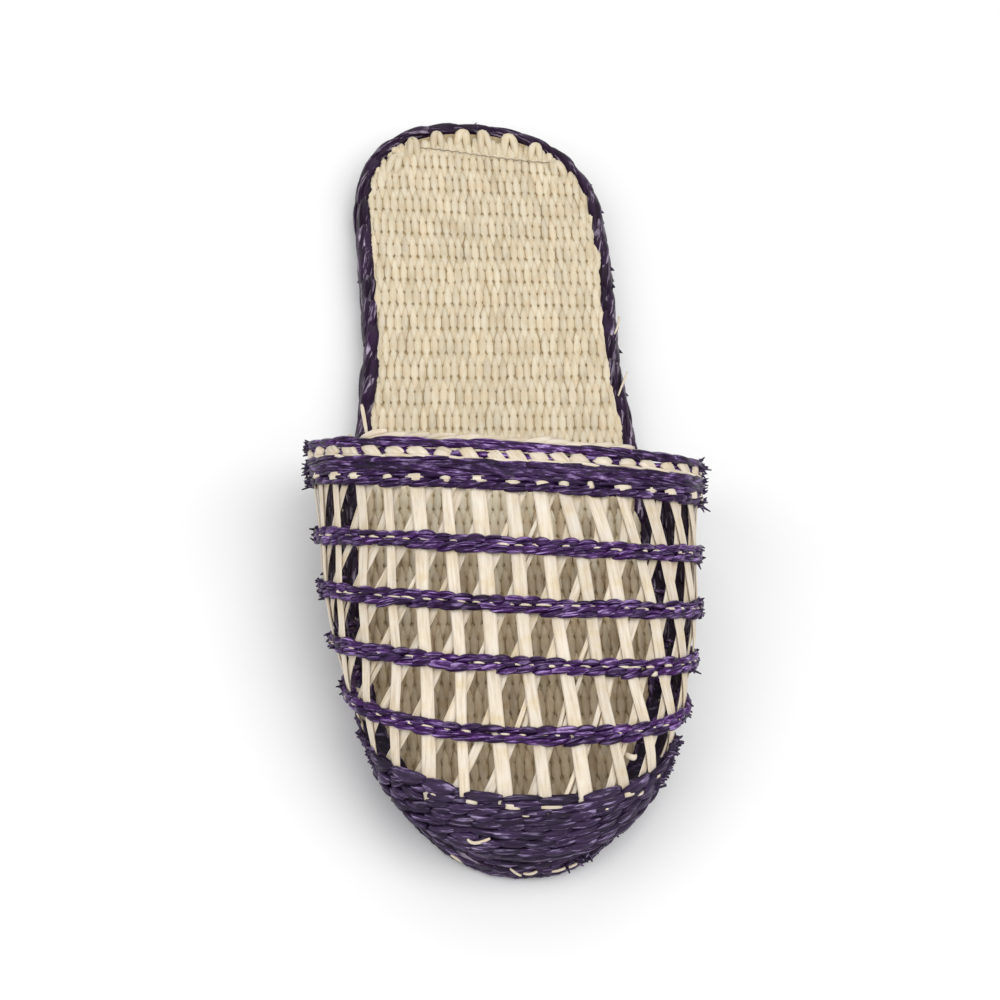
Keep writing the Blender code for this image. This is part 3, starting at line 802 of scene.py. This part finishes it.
def footCourse(bundle, course):
    # stitches along the foot of the upper, which tie it down to the binding, kept dark by a low tone as
    # painted shade inside the side walls
    q = np.linspace(-1, 1, 7)
    for side in (-1, 1):
        end = course["end"] if side > 0 else course["leftEnd"]
        for middle in np.arange(course["start"], end, course["pitch"]):
            shake = dice.normal(0, 1, 4)
            along = mm * (middle + course["span"] / 2 * q * (1 + 0.1 * shake[0]))
            up = course["up"] - 0.1 * q * course["lean"] - 0.04 * shake[1]
            stake = side * (stakesPerSide(along) - up)
            lift = mm * (course["lift"] + 0.6 * (1 - np.abs(q) ** 3) + 0.1 * shake[2])
            path, normals = onUpper(along, stake, lift)
            width = course["width"] * mm * (1 - 0.5 * np.abs(q) ** 3) * (1 + 0.12 * shake[3])
            thick = course["thick"] * mm * (1 - 0.4 * q**4)
            # a low tone: painted shade in the openings at the sides
            addStrand(bundle, path, normals, width, thick, tone=0.15 * dice.random())


plainFleck = dict(phase=0, slant=0, thick=0.5, end=0.5)  # in the units of a course


def addFlecks(bundle, fleck):
    # slivers of bare straw that show between two courses
    fleck = {**plainFleck, **fleck}
    q = np.linspace(-1, 1, 5)
    for number in np.arange(-14, 14, fleck["pitch"]) + fleck["phase"]:
        centre = stakeAt(number, fleck["along"]) + 0.06 * dice.normal()
        shake = dice.normal(0, 1, 3)
        if dice.random() > fleck["share"] or abs(centre) > stakesPerSide(fleck["along"]) - fleck["end"]:
            continue
        stake = centre + fleck["long"] * dice.uniform(0.4, 1.4) * q / 2
        along = fleck["along"] + mm * (fleck["slant"] * q + 0.1 * shake[1])
        path, normals = onUpper(along, stake, mm * (fleck["lift"] - 0.35 * q**2))
        width = fleck["wide"] * mm * dice.uniform(0.6, 1.2) * (1 - 0.15 * q**4)
        addStrand(bundle, path, normals, width, fleck["thick"] * mm, square=0.3)


# the four twined rows, each with two courses
rowStitch = dict(pitch=0.5, width=2.3, thick=1.5, lift=-0.2, taper=0.6, split=0.6)
rowCourses = [
    dict(rowStitch, at=-1.0, span=0.76, rise=1.05, slant=-0.3, phase=0.25),
    dict(rowStitch, at=1.05, span=0.8, rise=1.1, slant=-0.5, phase=0.45),
]
rowFlecks = dict(at=-0.05, pitch=0.5, share=0.85, long=0.34, wide=0.62, lift=1.2, phase=0.1)
for number, row in enumerate(slipper["rows"], start=1):
    twine = newBundle()
    flecks = newBundle()
    for course in rowCourses:
        placed = {**course, "along": row + course["at"] * mm}
        twineCourse(twine, {**placed, "wild": 1.4})
        twineCourse(twine, {**placed, "phase": course["phase"] + course["pitch"] / 2}, inside=True)
    addFlecks(flecks, {**rowFlecks, "along": row + rowFlecks["at"] * mm})
    rowLayers = [(twine, purpleTwine), (flecks, naturalStraw)]
    makeWeave(f"weftRow{number}", rowLayers, f"weft_row_{number}")

# the toe cap: close courses over a dark sheet of painted shade, the first one of larger stitches
capRows = dict(first=90.4, step=2.12, count=10)
capStitch = dict(pitch=0.62, span=0.92, width=2.35, thick=1.4, lift=-0.05, rise=0.58, slant=-0.3,
                 rightSlant=-0.7, leftTurn=1.0, wild=1.6, square=0.85, end=0.15)
firstStitch = dict(pitch=1.0, span=1.16, width=3.0, rise=1.0, taper=0.55, split=0.3, leftTurn=0.3)
capFleckRows = [
    dict(along=92.0 * mm, pitch=1.0, share=0.85, long=0.42, wide=1.3, lift=1.05, phase=0.15),
    dict(along=94.0 * mm, pitch=0.5, share=0.25, long=0.2, wide=0.55, lift=0.95),
]
capShadeSheet = dict(start=89.2, end=110.8, footEnd=0.1, lift=-0.2, thick=1.2, rows=13, columns=61, tone=0.05)
capTwine = newBundle()
capFlecks = newBundle()
addShadeSheet(capTwine, capShadeSheet)
for number in range(capRows["count"]):
    along = (capRows["first"] + capRows["step"] * number) * mm
    course = {**capStitch, "along": along, "phase": 0.4 + 0.16 * (number % 2)}
    twineCourse(capTwine, course if number else {**course, **firstStitch})
for fleck in capFleckRows:
    addFlecks(capFlecks, fleck)
makeWeave("toeCap", [(capTwine, capStraw), (capFlecks, naturalStraw)], "toe_cap")

# the collar: three wide courses and a narrow one over a darker sheet of painted shade
collarStitch = dict(pitch=1.25, span=2.4, width=2.6, thick=1.5, phase=0, end=0.6, tone=0.45)
collarCourses = [
    dict(collarStitch, at=6.9, lift=0.2, rise=0.9, slant=-0.5),
    dict(collarStitch, at=8.7, lift=0.25, rise=0.95, slant=0.5, phase=0.6),
    dict(collarStitch, at=10.2, lift=0.1, rise=0.8, slant=-0.4, phase=0.3, span=2.2, width=2.2, thick=1.4),
    dict(collarStitch, at=12.6, lift=-0.1, rise=1.0, slant=-0.4, phase=0.25, span=0.8, width=2.2, pitch=0.5,
         taper=0.6),
]
collarFleck = dict(along=11.35 * mm, pitch=1.0, share=0.97, long=0.42, wide=1.9, lift=1.3, slant=-0.15)
collarShadeSheet = dict(start=3.4, end=12.6, footEnd=0.35, lift=0.05, thick=1.6, rows=6, columns=81, tone=0.35)
collarTwine = newBundle()
collarFlecks = newBundle()
addShadeSheet(collarTwine, collarShadeSheet)
for course in collarCourses:
    placed = {**course, "along": course["at"] * mm}
    twineCourse(collarTwine, placed)
    twineCourse(collarTwine, {**placed, "phase": course["phase"] + 0.4}, inside=True)
addFlecks(collarFlecks, collarFleck)
collarLayers = [(collarTwine, purpleTwine), (collarFlecks, naturalStraw)]
makeWeave("collarBand", collarLayers, "collar_band")

# the rim of the throat: dark courses, wide straws over them, a thin straw below and turned-in ends above
rimStitch = dict(pitch=0.8, end=0.6)
rimTwineCourses = [
    dict(rimStitch, along=1.7 * mm, span=1.5, width=2.5, thick=1.7, lift=0.1, rise=0.7, slant=0.35),
    dict(rimStitch, along=4.2 * mm, span=1.3, width=2.4, thick=1.2, lift=-0.1, rise=0.2),
]
wideStraw = dict(rimStitch, along=4.25 * mm, span=0.42, width=3.5, thick=0.7, lift=0.15, rise=0.6, slant=1.9,
                 taper=0.0, phase=0.1, split=0.0, square=0.3)
thinStraw = dict(rimStitch, along=5.75 * mm, span=1.05, width=1.1, thick=0.8, lift=0.7, rise=0.45, slant=0.4,
                 taper=0.4, phase=0.35, split=0.0)
edgeStraw = dict(rimStitch, along=-0.2 * mm, span=1.1, width=2.5, thick=1.2, lift=-1.1, rise=0.7, slant=-0.8,
                 taper=0.35, split=0.2, reach=(-5.2, 4.5))
rimTwine = newBundle()
rimStraw = newBundle()
for course in rimTwineCourses:
    twineCourse(rimTwine, course)
for course in (wideStraw, thinStraw, edgeStraw):
    twineCourse(rimStraw, course)
twineCourse(rimStraw, {**edgeStraw, "along": 1.4 * mm, "lift": -0.1, "rise": 0.5}, inside=True)
makeWeave("collarRim", [(rimTwine, purpleTwine), (rimStraw, naturalStraw)], "collar_rim")

# stitches that tie the upper down: where they start, end on the right and end on the left, and their lift,
# all in mm, and how many stakes up they lie
footCourses = [
    (2, 92, 76, -0.9, 0.22), (5, 88, 62, -1.3, 0.55), (14, 90, 62, -1.9, 0.88), (15, 92, 62, -1.9, 1.2),
    (15, 80, 62, -1.9, 1.5), (15, 68, 62, -1.9, 1.8), (15, 56, 56, -1.9, 2.1), (15, 44, 44, -1.9, 2.4),
]
footStitch = dict(pitch=7.5, span=12.5, width=2.9, thick=1.4)
footTwine = newBundle()
for number, (start, end, leftEnd, lift, up) in enumerate(footCourses):
    course = dict(footStitch, start=start, end=end, leftEnd=leftEnd, lift=lift, up=up)
    footCourse(footTwine, {**course, "lean": 1 if number % 2 else -1})
makeWeave("footTwine", [(footTwine, edgeStrip)])


def addBristle(bundle, base, way, length, width, taper=0.6):
    # a short loose fibre, narrower at its end
    t = np.linspace(0, 1, 4)
    curl = dice.normal(0, 0.25, 3)
    path = base + length * (t[:, None] * way + (t**2)[:, None] * curl)
    side = unit(np.cross(way, [0.3, 0.5, 0.8]))
    width = width * (1 - taper * t**2)
    addStrand(bundle, path, side, width, 0.6 * width, sides=4)


towardsCamera = np.array([-0.1, -0.62, 0.78])


def outlineStake(along, side):
    # the last stake on one side that still faces the camera
    stake = side * np.linspace(0, stakesPerSide(along), 240)
    _, normals = onUpper(along, stake, 0.0)
    return stake[normals @ towardsCamera > 0.03][-1]


# a point within "touch" stays, one behind a face by more than "deepest" counts as outside, and a strand that
# is moved goes in by "sink"
settling = inMm(touch=0.1, deepest=0.25, sink=0.25)


def settle(bundle, trees, part):
    # move each loose strand that touches nothing up to the nearest piece
    for number, points in enumerate(bundle["points"]):
        moves = []
        for point in map(Vector, setAskew(points)[part]):
            for tree in trees:
                near, normal, _, gap = tree.find_nearest(point)
                outside = (point - near).dot(normal) > 0 or gap > settling["deepest"]
                moves.append((gap if outside else 0.0, near - point))
        gap, move = min(moves, key=lambda entry: entry[0])
        if gap > settling["touch"]:
            bundle["points"][number] = points + np.array(move) * (1 + settling["sink"] / gap)


# loose fibres at the outline of the upper: mm along, mm long and how many on each side
tufts = [(2, 2.2, 18), (7, 2.2, 14), (9.5, 2.2, 14), (12.6, 2.2, 14)]
tufts += [(row / mm + at, 1.5, 8) for row in slipper["rows"] for at in (-1, 1)]
tuft = {**inMm(spread=1.0, lift=0.8, width=0.65), "stakes": (-1.0, 0.5), "share": (0.5, 1.0)}
bristles = newBundle()
for along, length, count in tufts:
    for side in (-1, 1):
        for _ in range(count):
            place = along * mm + tuft["spread"] * dice.normal()
            stake = outlineStake(along * mm, side) + side * dice.uniform(*tuft["stakes"])
            base, normal = onUpper(place, stake, tuft["lift"])
            way = unit(0.8 * normal + 0.6 * side * np.array([1, 0, -0.6]) + dice.normal(0, 0.5, 3))
            addBristle(bristles, base, way, length * mm * dice.uniform(*tuft["share"]), tuft["width"])
# at the sides of the cap
capBristles = {1: (190, 2.0), -1: (90, 1.1)}  # how many and mm long, on the right and the left
capTuft = {**inMm(lift=0.6, width=0.8), "along": (85, 100), "stakes": (-0.7, 0.25), "share": (0.35, 1.0)}
for side, (count, length) in capBristles.items():
    for _ in range(count):
        along = dice.uniform(*capTuft["along"]) * mm
        stake = outlineStake(along, side) + side * dice.uniform(*capTuft["stakes"])
        base, normal = onUpper(along, stake, capTuft["lift"])
        way = unit(0.7 * normal + np.array([0.7 * side, 0.35, 0.1]) + dice.normal(0, 0.3, 3))
        addBristle(bristles, base, way, length * mm * dice.uniform(*capTuft["share"]), capTuft["width"])
# on the binding beside the toe: mm from the toe, degrees around the binding, mm long
toeTuft = {**inMm(lift=0.6, width=0.8), **dict(count=60, runs=(-62, -8), around=(-15, 30), long=(0.7, 1.8))}
for _ in range(toeTuft["count"]):
    run = edgeLength / 2 + dice.uniform(*toeTuft["runs"]) * mm
    base, normal = onEdge(run, dice.uniform(*toeTuft["around"]), toeTuft["lift"])
    way = unit(normal + np.array([0.3, 0.1, 0.1]) + dice.normal(0, 0.3, 3))
    addBristle(bristles, base, way, mm * dice.uniform(*toeTuft["long"]), toeTuft["width"])
# small points along the outer edge of the binding, more of them on the right
edgePoints = {
    **inMm(lift=-0.5, width=1.5),
    **dict(right=(20, 220, 4.6), left=(420, 620, 9), around=(5, 35), long=(1.4, 2.6), taper=0.9),
}
for run in np.concatenate([np.arange(*edgePoints["right"]), np.arange(*edgePoints["left"])]) * mm:
    base, normal = onEdge(run + mm * dice.normal(), dice.uniform(*edgePoints["around"]), edgePoints["lift"])
    way = unit(0.75 * normal + dice.normal(0, 0.2, 3) - np.array([0, 0.7, 0]))
    long = mm * dice.uniform(*edgePoints["long"])
    addBristle(bristles, base, way, long, edgePoints["width"], taper=edgePoints["taper"])
# single bits of straw that stick out
strawBits = newBundle()
bits = [  # mm from one end to the other through the middle, and mm wide
    ((-15.0, -125.6, 16.9), (-13.2, -126.6, 16.6), (-9.9, -126.6, 18.7), 0.95),
    ((-37.2, 15.5, 9.6), (-36.6, 10.5, 10.4), (-35.7, 4.0, 10.2), 1.3),
    ((35.6, 42.0, 10.2), (36.9, 45.5, 10.7), (37.4, 49.0, 10.2), 0.6),
    ((34.9, 18.5, 10.3), (36.4, 22.5, 10.8), (38.3, 28.0, 9.6), 0.6),
    ((24.6, -109.0, 26.6), (26.4, -110.6, 27.4), (27.4, -109.6, 26.6), 1.6),
    ((30.6, -89.0, 33.0), (32.0, -90.5, 33.6), (33.2, -89.4, 32.6), 1.5),
    ((-18.0, -123.0, 4.6), (-16.6, -124.0, 4.4), (-15.2, -124.6, 3.8), 0.8),
    ((-4.2, -129.6, 7.0), (-2.6, -130.3, 5.8), (-1.4, -130.2, 4.6), 0.7),
    ((-0.9, -130.3, 5.6), (0.8, -130.6, 5.8), (2.4, -130.1, 6.2), 0.8),
    ((6.2, -129.5, 6.0), (7.8, -129.6, 6.6), (9.4, -129.2, 7.2), 0.7),
    ((10.2, -129.0, 6.6), (11.4, -128.8, 7.0), (12.6, -128.3, 7.4), 0.7),
]
for start, middle, end, wide in bits:
    t = np.linspace(0, 1, 7)[:, None]
    bow = 2 * np.array(middle) - (np.array(start) + end) / 2
    path = ((1 - t) ** 2 * start + 2 * t * (1 - t) * bow + t**2 * end) * mm
    outward = unit(np.array(middle) - [0, -40, -20])
    width = wide * mm * (1 - 0.4 * (2 * t[:, 0] - 1) ** 4)
    addStrand(strawBits, path, outward, width, 0.5 * mm, square=0.6, tone=0.8)
graph = bpy.context.evaluated_depsgraph_get()
weaves = [thing for thing in bpy.data.objects if thing.type == "MESH" and "strandUv" in thing.data.uv_layers]
trees = [BVHTree.FromObject(weave, graph) for weave in weaves]
settle(bristles, trees, slice(0, 4))  # by the base
settle(strawBits, trees, slice(None))
makeWeave("looseFibres", [(bristles, capStraw), (strawBits, naturalStraw)])
print("weave made")

# the floor
bpy.ops.object.select_all(action="DESELECT")
bpy.ops.mesh.primitive_plane_add(size=8)
floor = bpy.context.object
floor.name = "floor"
floorPaint, floorTree, floorShader = newMaterial("floorPaint")
fillInputs(floorTree, floorShader, {"Base Color": (0.9, 0.9, 0.9, 1), "Roughness": 0.9})
floor.data.materials.append(floorPaint)

# lights: place and size in metres, power in watts
lampAim = Vector((0, -0.02, 0.02))
roomLight = 0.39
lamps = {
    "keyLight": ((0.5, -0.4, 1.15), 1.4, 12.6),
    "fillLight": ((-0.9, -0.4, 0.8), 1.3, 6.5),
    "backLight": ((0.1, 1.1, 0.8), 1.2, 5),
}
for name, (place, size, power) in lamps.items():
    bpy.ops.object.light_add(type="AREA", location=place)
    lamp = bpy.context.object
    lamp.name = name
    lamp.data.size = size
    lamp.data.energy = power
    lamp.rotation_euler = (lampAim - Vector(place)).to_track_quat("-Z", "Y").to_euler()
world = bpy.data.worlds.new("softRoom")
world.use_nodes = True
roomShader = world.node_tree.nodes["Background"]
fillInputs(world.node_tree, roomShader, {"Color": (1, 1, 1, 1), "Strength": roomLight})
bpy.context.scene.world = world
bpy.context.scene.view_settings.view_transform = "Standard"

# the photo's camera
view = {
    "place": (-60.0 * mm, -387.9 * mm, 486.3 * mm),
    "tilt": 40.0,
    "turn": -0.35,
    "aim": (145, -57, -1500),  # the shoe's middle in the photo, from its own middle
    "lens": 81,
    "sensor": 36,
    "nearest": 0.01,
}
bpy.ops.object.camera_add(location=view["place"])
camera = bpy.context.object
camera.data.lens = view["lens"]
camera.data.sensor_width = view["sensor"]
camera.data.clip_start = view["nearest"]
photoTurn = Euler((math.radians(view["tilt"]), 0, math.radians(view["turn"]))).to_quaternion()
shoeTurn = Vector((0, 0, -1)).rotation_difference(Vector(view["aim"]).normalized())
camera.rotation_mode = "QUATERNION"
camera.rotation_quaternion = photoTurn @ shoeTurn
bpy.context.scene.camera = camera
print("stage set")
